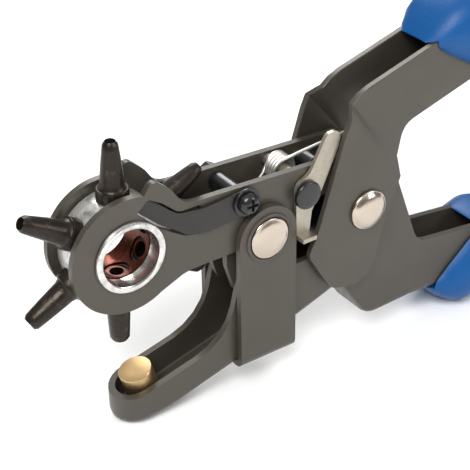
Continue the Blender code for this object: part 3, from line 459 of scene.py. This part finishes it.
def turned(name, stations, placement, finish, sides=72):
    """Round piece: a ring drawn out station by station, (radius, height) in mm, then closed."""
    radius, height = stations[0]
    bpy.ops.object.select_all(action="DESELECT")
    bpy.ops.mesh.primitive_circle_add(vertices=sides, radius=max(radius, 0.02) * MM,
                                      location=(0, 0, height * MM))
    item = bpy.context.active_object
    item.name = name
    bpy.ops.object.transform_apply(location=True, rotation=True, scale=True)
    closed = stations[0][0] > 0 and stations[-1][0] > 0
    bpy.ops.object.mode_set(mode="EDIT")
    bpy.ops.mesh.select_mode(type="EDGE")
    bpy.ops.mesh.select_all(action="SELECT")
    if not closed:
        bpy.ops.mesh.edge_face_add()
    track = stations[1:] + ([stations[0]] if closed else [])
    for after, level in track:
        bpy.ops.mesh.extrude_edges_move(TRANSFORM_OT_translate={"value": (0, 0, (level - height) * MM)})
        grow = max(after, 0.02) / max(radius, 0.02)
        bpy.ops.transform.resize(value=(grow, grow, 1.0))
        radius, height = after, level
    if not closed:
        bpy.ops.mesh.edge_face_add()
    bpy.ops.mesh.select_all(action="SELECT")
    bpy.ops.mesh.remove_doubles(threshold=0.000001)
    bpy.ops.mesh.normals_make_consistent(inside=False)
    bpy.ops.object.mode_set(mode="OBJECT")
    item.matrix_world = placement
    only(item)
    bpy.ops.object.transform_apply(location=True, rotation=True, scale=True)
    item.data.materials.append(finish)
    bpy.ops.object.shade_smooth_by_angle(angle=math.radians(32))
    return item


def dome(radius, seat, top, crown, rim, steps=8):
    """Stations of a rivet head from its middle out over a rounded rim and down to its seat."""
    stations = []
    for step in range(steps):
        reach = (radius - rim) * step / steps
        stations.append((reach, top - crown * (reach / radius) ** 2.5))
    for step in range(steps + 1):
        angle = math.radians(90) * step / steps
        stations.append((radius - rim + rim * math.sin(angle), top - crown - rim + rim * math.cos(angle)))
    stations.append((radius, seat))
    return stations


def mirrored(stations):
    """The same stations on the other side of the middle plane, in reverse."""
    return [(radius, -height) for radius, height in reversed(stations)]


def through_rivet(name, place, seat, top, crown, rim):
    """Plated rivet right across the tool, with the same head on both sides."""
    head = dome(RIVET_HEAD, seat, top, crown, rim)
    stations = head + [(RIVET_SHANK, seat), (RIVET_SHANK, -seat)] + mirrored(head)
    return turned(name, stations, across(*place), chrome())


# ------------------------------------------------------------------ settings

class PunchSettings(bpy.types.PropertyGroup):
    sheet_colour: bpy.props.FloatVectorProperty(
        name="Sheet", description="Lacquer on the pressed sheet", subtype="COLOR", size=3,
        default=(0.062, 0.054, 0.043), min=0, max=1)
    grip_colour: bpy.props.FloatVectorProperty(
        name="Grips", description="Vinyl of both grips", subtype="COLOR", size=3,
        default=(0.0005, 0.068, 0.235), min=0, max=1)
    rivet_colour: bpy.props.FloatVectorProperty(
        name="Rivets", description="Plating of the two pivot rivets", subtype="COLOR", size=3,
        default=(0.56, 0.48, 0.40), min=0, max=1)
    brass_colour: bpy.props.FloatVectorProperty(
        name="Anvil", description="Brass of the anvil", subtype="COLOR", size=3,
        default=(0.58, 0.40, 0.20), min=0, max=1)
    cast_colour: bpy.props.FloatVectorProperty(
        name="Turret", description="Cast metal of the turret and its eyelets", subtype="COLOR", size=3,
        default=(0.70, 0.69, 0.66), min=0, max=1)
    edge_round: bpy.props.FloatProperty(
        name="Edge round", description="Radius on the edges of the sheet", subtype="DISTANCE",
        unit="LENGTH", default=0.3 * MM, min=0.05 * MM, max=0.8 * MM)
    floor_size: bpy.props.FloatProperty(
        name="Floor", description="Width of the studio floor", subtype="DISTANCE", unit="LENGTH",
        default=6.0, min=1.0, max=20.0)
    lamp_power: bpy.props.FloatProperty(
        name="Lamps", description="Share of the studio lamps' full power", default=1.0, min=0.1, max=4.0)


def settings():
    return bpy.context.scene.punch_settings


def sheet_finishes():
    colour = tuple(settings().sheet_colour)
    # The second finish, for the rounded edges, is rubbed wear together with a painted highlight along the
    # rims.
    return (finish_named("lacquered_sheet", lacquer, colour),
            finish_named("rubbed_sheet_edge", rubbed_edge_and_highlight, colour))


def zinc():
    return finish_named("zinc_stamping", zinc_plate, (0.44, 0.40, 0.33))


def black():
    return finish_named("black_fastener", black_oxide, (0.011, 0.011, 0.012))


def chrome():
    return finish_named("rivet_plate", bright_plate, tuple(settings().rivet_colour))


# ------------------------------------------------------------------ pieces

class PUNCH_OT_frame(bpy.types.Operator):
    """Lower jaw and handle channel, its spacers and the handle rivet"""
    bl_idname = "punch.frame"
    bl_label = "Lower jaw and handle"

    def execute(self, context):
        faces, edges = sheet_finishes()
        round_mm = settings().edge_round / MM
        dressed("frame_channel", "frame", "lacquered_steel", faces, edges, round_mm)
        for node in ("handle_washer_near", "handle_washer_far"):
            dressed(node, "frame", "zinc", zinc(), zinc(), 0.12, 2)
        rivet = through_rivet("handle_rivet_turned", HANDLE_PIVOT, CHEEK_SEAT, HANDLE_HEAD_TOP,
                              crown=1.6, rim=0.45)
        declare(rivet, "frame", "chrome", "handle_rivet")
        return {"FINISHED"}


class PUNCH_OT_anvil(bpy.types.Operator):
    """Turned brass anvil on the nose of the lower jaw"""
    bl_idname = "punch.anvil"
    bl_label = "Anvil"

    def execute(self, context):
        brass = finish_named("turned_brass", turned_brass, tuple(settings().brass_colour))
        place = TOOL @ Matrix.Translation((ANVIL_FACE[0] * MM, 0, ANVIL_FACE[1] * MM))
        place = place @ Matrix.Rotation(-ANVIL_TILT, 4, "Y")
        profile = [(0, 0), (1.0, 0), (ANVIL_RADIUS - 0.45, 0), (ANVIL_RADIUS - 0.18, -0.06),
                   (ANVIL_RADIUS - 0.04, -0.22), (ANVIL_RADIUS, -0.45), (ANVIL_RADIUS, ANVIL_BASE + 0.3),
                   (ANVIL_RADIUS - 0.2, ANVIL_BASE), (ANVIL_STEM, ANVIL_BASE),
                   (ANVIL_STEM, ANVIL_END + 0.3), (ANVIL_STEM - 0.3, ANVIL_END), (0, ANVIL_END)]
        piece = turned("anvil_turned", profile, place, brass, 96)
        declare(piece, "frame", "brass", "anvil")
        return {"FINISHED"}


class PUNCH_OT_grips(bpy.types.Operator):
    """Blue sleeves on both handles"""
    bl_idname = "punch.grips"
    bl_label = "Grips"

    def execute(self, context):
        vinyl = finish_named("moulded_vinyl", moulded_vinyl, tuple(settings().grip_colour))
        for node, body in (("lower_grip", "frame"), ("upper_grip", "upper_handle")):
            dressed(node, body, "grip_blue", vinyl, vinyl, 0.35, 3, 60)
        return {"FINISHED"}


class PUNCH_OT_handle(bpy.types.Operator):
    """Upper handle channel and its hidden drive pin"""
    bl_idname = "punch.handle"
    bl_label = "Upper handle"

    def execute(self, context):
        faces, edges = sheet_finishes()
        dressed("handle_channel", "upper_handle", "lacquered_steel", faces, edges,
                settings().edge_round / MM)
        dressed("drive_pin", "upper_handle", "zinc", zinc(), zinc(), 0.2, 2)
        return {"FINISHED"}


class PUNCH_OT_link(bpy.types.Operator):
    """Saddle link with its pressed ring and the jaw rivet"""
    bl_idname = "punch.link"
    bl_label = "Saddle link"

    def execute(self, context):
        faces, edges = sheet_finishes()
        dressed("saddle_link", "link", "lacquered_steel", faces, faces, 0.3, 3)
        rivet = through_rivet("jaw_rivet_turned", JAW_PIVOT, LINK_SEAT, JAW_HEAD_TOP, crown=1.0, rim=0.35)
        declare(rivet, "link", "chrome", "jaw_rivet")
        ring = [(7.7, LINK_FACE), (7.62, LINK_FACE + 0.42), (7.4, LINK_FACE + 0.62),
                (7.1, LINK_FACE + 0.68), (6.8, LINK_FACE + 0.6), (6.62, LINK_FACE + 0.4),
                (6.55, LINK_FACE)]
        for name, near in (("pressed_ring_near", True), ("pressed_ring_far", False)):
            piece = turned(name, ring, across(*JAW_PIVOT, near), faces)
            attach(piece, "link")
        return {"FINISHED"}


class PUNCH_OT_jaw(bpy.types.Operator):
    """Upper jaw plates, their eyelets and what is riveted or screwed to them"""
    bl_idname = "punch.jaw"
    bl_label = "Upper jaw"

    def execute(self, context):
        faces, edges = sheet_finishes()
        round_mm = settings().edge_round / MM
        for node in ("jaw_plate_near", "jaw_plate_far"):
            dressed(node, "upper_jaw", "lacquered_steel", faces, edges, round_mm)
        # The leaf spring gets a darker copy of the sheet lacquer: painted shade for the inward tilt that
        # dims it.
        leaf = finish_named("leaf_spring_dark", lacquer, (0.022, 0.020, 0.017))
        dressed("detent_spring", "upper_jaw", "lacquered_steel", leaf, leaf, 0.14, 2)
        for node in ("detent_washer", "detent_screw", "detent_nut", "drive_tongue", "screw_spacer"):
            dressed(node, "upper_jaw", "black_oxide", black(), black(), 0.15, 3)
        for node in ("tail_rivet_front", "tail_rivet_rear", "spring_pin"):
            dressed(node, "upper_jaw", "zinc", zinc(), zinc(), 0.2, 2)
        eyelet = finish_named("eyelet_metal", eyelet_metal, tuple(settings().cast_colour))
        roll = [(EYELET_BORE, EYELET_SEAT + 0.2), (EYELET_BORE + 0.1, EYELET_SEAT + 0.6),
                (EYELET_BORE + 0.4, EYELET_SEAT + 0.82), (EYELET_BORE + 0.9, EYELET_SEAT + 0.9),
                (EYELET_FLANGE - 0.7, EYELET_SEAT + 0.85), (EYELET_FLANGE - 0.25, EYELET_SEAT + 0.66),
                (EYELET_FLANGE - 0.05, EYELET_SEAT + 0.35), (EYELET_FLANGE, EYELET_SEAT),
                (EYELET_SPIGOT, EYELET_SEAT), (EYELET_SPIGOT, EYELET_END), (EYELET_BORE, EYELET_END)]
        for node, near in (("hub_bush_near", True), ("hub_bush_far", False)):
            piece = turned(node + "_rolled", roll, across(0, 0, near), eyelet, 96)
            declare(piece, "upper_jaw", "cast_metal", node)
        head = dome(LEVER_HEAD, LEVER_SEAT, LEVER_HEAD_TOP, crown=0.2, rim=0.6)
        shank = [(LEVER_SHANK, LEVER_SEAT), (LEVER_SHANK, JAW_INSIDE), (LEVER_FOOT, JAW_INSIDE),
                 (LEVER_FOOT, LEVER_FOOT_END), (0, LEVER_FOOT_END)]
        rivet = turned("lever_rivet_turned", head + shank, across(*LEVER_PIVOT), black())
        declare(rivet, "upper_jaw", "black_oxide", "lever_rivet")
        return {"FINISHED"}


class PUNCH_OT_spring(bpy.types.Operator):
    """Opening spring: smooth wire coil with two legs"""
    bl_idname = "punch.spring"
    bl_label = "Torsion spring"

    def execute(self, context):
        wire = finish_named("spring_wire", bright_plate, (0.80, 0.78, 0.73))
        points = self.route()
        curve = bpy.data.curves.new("opening_spring", "CURVE")
        curve.dimensions = "3D"
        curve.bevel_depth = WIRE_RADIUS * MM
        curve.bevel_resolution = 3
        curve.use_fill_caps = True
        spline = curve.splines.new("POLY")
        spline.points.add(len(points) - 1)
        for point, place in zip(spline.points, points):
            point.co = (*at(place.x, place.z, place.y), 1.0)
        item = bpy.data.objects.new("opening_spring", curve)
        context.scene.collection.objects.link(item)
        only(item)
        bpy.ops.object.convert(target="MESH")
        item = context.active_object
        item.data.materials.append(wire)
        bpy.ops.object.shade_smooth_by_angle(angle=math.radians(50))
        declare(item, "upper_jaw", "spring_wire", "torsion_spring")
        return {"FINISHED"}

    def route(self):
        """Long leg under the handle, the coil round its pin, and the short leg into the jaw."""
        x, z = SPRING_CENTRE
        side = COIL_TURNS * COIL_PITCH / 2
        total = COIL_TURNS * COIL_STEPS
        top = Vector((x + COIL_RADIUS * math.cos(COIL_START), -side, z + COIL_RADIUS * math.sin(COIL_START)))
        leg_end = Vector((SPRING_LEG_END[0], -side, SPRING_LEG_END[1]))
        points = [leg_end.lerp(top, share) for share in (0, 0.3, 0.6, 0.88)]
        for step in range(total + 1):
            angle = COIL_START + 2 * math.pi * step / COIL_STEPS
            y = -side + 2 * side * step / total
            points.append(Vector((x + COIL_RADIUS * math.cos(angle), y, z + COIL_RADIUS * math.sin(angle))))
        points += [Vector((x - 4.4, side, z - 1.4)), Vector((x - 7.6, side, z - 5.0))]
        return points


class PUNCH_OT_turret(bpy.types.Operator):
    """Cast drum and its six punch tubes"""
    bl_idname = "punch.turret"
    bl_label = "Turret"

    def execute(self, context):
        cast = finish_named("bright_casting", cast_bright, tuple(settings().cast_colour))
        dressed("turret_drum", "turret", "cast_metal", cast, cast, 0.25, 3)
        steel = finish_named("tube_black", tube_black, (0.034, 0.026, 0.020))
        for index, size in enumerate(PUNCH_BORES):
            angle = TUBE_FIRST_ANGLE + 360 * index / len(PUNCH_BORES)
            place = TOOL @ Matrix.Rotation(math.radians(90 - angle), 4, "Y")
            piece = turned(f"punch_tube_{index + 1}_turned", self.tube(size / 2), place, steel, 64)
            declare(piece, "turret", "tube_steel", f"punch_tube_{index + 1}")
        return {"FINISHED"}

    def tube(self, bore):
        """Stations of a tube: ground edge, tapered barrel, rounded collar, stem and bore."""
        tip = bore + TUBE_WALL
        stations = [(bore + 0.2, TUBE_TIP)]
        for share in (0.93, 0.8, 0.6, 0.4, 0.22, 0.1):
            radius = TUBE_BASE + (tip - TUBE_BASE) * share ** 1.35
            stations.append((radius, COLLAR_TOP + (TUBE_TIP - COLLAR_TOP) * share))
        stations += [(TUBE_BASE + 0.35, COLLAR_TOP + 0.2), (TUBE_BASE + 0.55, COLLAR_TOP)]
        stations += [(COLLAR_RADIUS - 0.4, COLLAR_TOP), (COLLAR_RADIUS - 0.14, COLLAR_TOP - 0.1)]
        stations += [(COLLAR_RADIUS, COLLAR_TOP - 0.4), (COLLAR_RADIUS, COLLAR_FOOT)]
        stations += [(TUBE_STEM, COLLAR_FOOT), (TUBE_STEM, TUBE_ROOT), (bore, TUBE_ROOT)]
        return stations + [(bore, TUBE_TIP - 0.5)]


class PUNCH_OT_lever(bpy.types.Operator):
    """Zinc lock lever with its thumb tab"""
    bl_idname = "punch.lever"
    bl_label = "Lock lever"

    def execute(self, context):
        dressed("lock_lever", "lock_lever", "zinc", zinc(), zinc(), 0.35, 3)
        return {"FINISHED"}


class PUNCH_OT_studio(bpy.types.Operator):
    """Pale floor, soft lamps and the camera"""
    bl_idname = "punch.studio"
    bl_label = "Studio"

    def execute(self, context):
        bpy.ops.object.select_all(action="DESELECT")
        bpy.ops.mesh.primitive_plane_add(size=settings().floor_size, location=(0, 0, -0.0002))
        floor = context.active_object
        floor.name = "studio_floor"
        floor.data.materials.append(finish_named("pale_floor", floor_paint, (0.97, 0.97, 0.97)))
        world = bpy.data.worlds.new("studio_air")
        world.use_nodes = True
        self.sky(world.node_tree)
        context.scene.world = world
        context.scene.view_settings.view_transform = "Standard"
        self.lamp("key_lamp", (-0.55, -0.45, 0.75), size=0.45, power=9)
        self.lamp("side_lamp", (0.5, -0.7, 0.45), size=0.35, power=2.5)
        self.lamp("back_lamp", (0.25, 0.7, 0.7), size=0.45, power=5)
        self.camera(context)
        return {"FINISHED"}

    def sky(self, tree):
        """Pale overhead, with a darker band above the horizon that gives metal its contrast."""
        place = tree.nodes.new("ShaderNodeTexCoord")
        split = tree.nodes.new("ShaderNodeSeparateXYZ")
        ramp = tree.nodes.new("ShaderNodeValToRGB")
        stops = ((0.0, 0.7), (0.02, 0.30), (0.45, 0.30), (0.62, 0.8), (1.0, 0.9))
        elements = ramp.color_ramp.elements
        for index, (height, grey) in enumerate(stops):
            stop = elements[index] if index < len(elements) else elements.new(height)
            stop.position = height
            stop.color = (grey, grey, grey * 0.985, 1.0)
        tree.links.new(place.outputs["Generated"], split.inputs[0])
        tree.links.new(split.outputs["Z"], ramp.inputs[0])
        tree.links.new(ramp.outputs[0], tree.nodes["Background"].inputs[0])
        tree.nodes["Background"].inputs[1].default_value = 0.8

    def lamp(self, name, place, size, power):
        bpy.ops.object.light_add(type="AREA", location=place)
        item = bpy.context.active_object
        item.name = name
        item.data.size = size
        item.data.energy = power * settings().lamp_power
        aim = Vector((0, 0, 0.05)) - Vector(place)
        item.rotation_euler = aim.to_track_quat("-Z", "Y").to_euler()

    def camera(self, context):
        """Stands on the jaw's near side, above the tool, and looks at the upper jaw."""
        azimuth, elevation, roll = math.radians(-34.15), math.radians(32.40), math.radians(-0.91)
        distance, right_shift, up_shift = 353.84, 31.983, 2.349
        back = Vector((math.sin(azimuth) * math.cos(elevation), -math.cos(azimuth) * math.cos(elevation),
                       math.sin(elevation)))
        right = Vector((math.cos(azimuth), math.sin(azimuth), 0))
        up = back.cross(right)
        turned_right = right * math.cos(roll) + up * math.sin(roll)
        turned_up = up * math.cos(roll) - right * math.sin(roll)
        centre = (turned_right * right_shift + turned_up * up_shift + back * distance) * MM
        pose = Matrix((turned_right, turned_up, back)).transposed().to_4x4()
        pose.translation = centre
        bpy.ops.object.camera_add()
        item = context.active_object
        item.name = "studio_camera"
        item.matrix_world = TOOL @ pose
        item.data.lens = 101.56
        item.data.sensor_width = 36
        item.data.clip_start = 0.01
        item.data.clip_end = 50
        context.scene.camera = item


PIECES = (PUNCH_OT_frame, PUNCH_OT_anvil, PUNCH_OT_grips, PUNCH_OT_handle, PUNCH_OT_link, PUNCH_OT_jaw,
          PUNCH_OT_spring, PUNCH_OT_turret, PUNCH_OT_lever, PUNCH_OT_studio)


class PUNCH_PT_panel(bpy.types.Panel):
    bl_label = "Rotary Hole Punch"
    bl_idname = "PUNCH_PT_panel"
    bl_space_type = "VIEW_3D"
    bl_region_type = "UI"
    bl_category = "Hole Punch"

    def draw(self, context):
        for name in PunchSettings.__annotations__:
            self.layout.prop(context.scene.punch_settings, name)
        for piece in PIECES:
            self.layout.operator(piece.bl_idname)


CLASSES = (PunchSettings, *PIECES, PUNCH_PT_panel)


def register():
    for item in CLASSES:
        bpy.utils.register_class(item)
    bpy.types.Scene.punch_settings = bpy.props.PointerProperty(type=PunchSettings)


def unregister():
    del bpy.types.Scene.punch_settings
    for item in reversed(CLASSES):
        bpy.utils.unregister_class(item)


def main():
    register()
    bpy.ops.punch.frame()
    bpy.ops.punch.anvil()
    bpy.ops.punch.grips()
    bpy.ops.punch.handle()
    bpy.ops.punch.link()
    bpy.ops.punch.jaw()
    bpy.ops.punch.spring()
    bpy.ops.punch.turret()
    bpy.ops.punch.lever()
    bpy.ops.punch.studio()


if __name__ == "__main__":
    main()
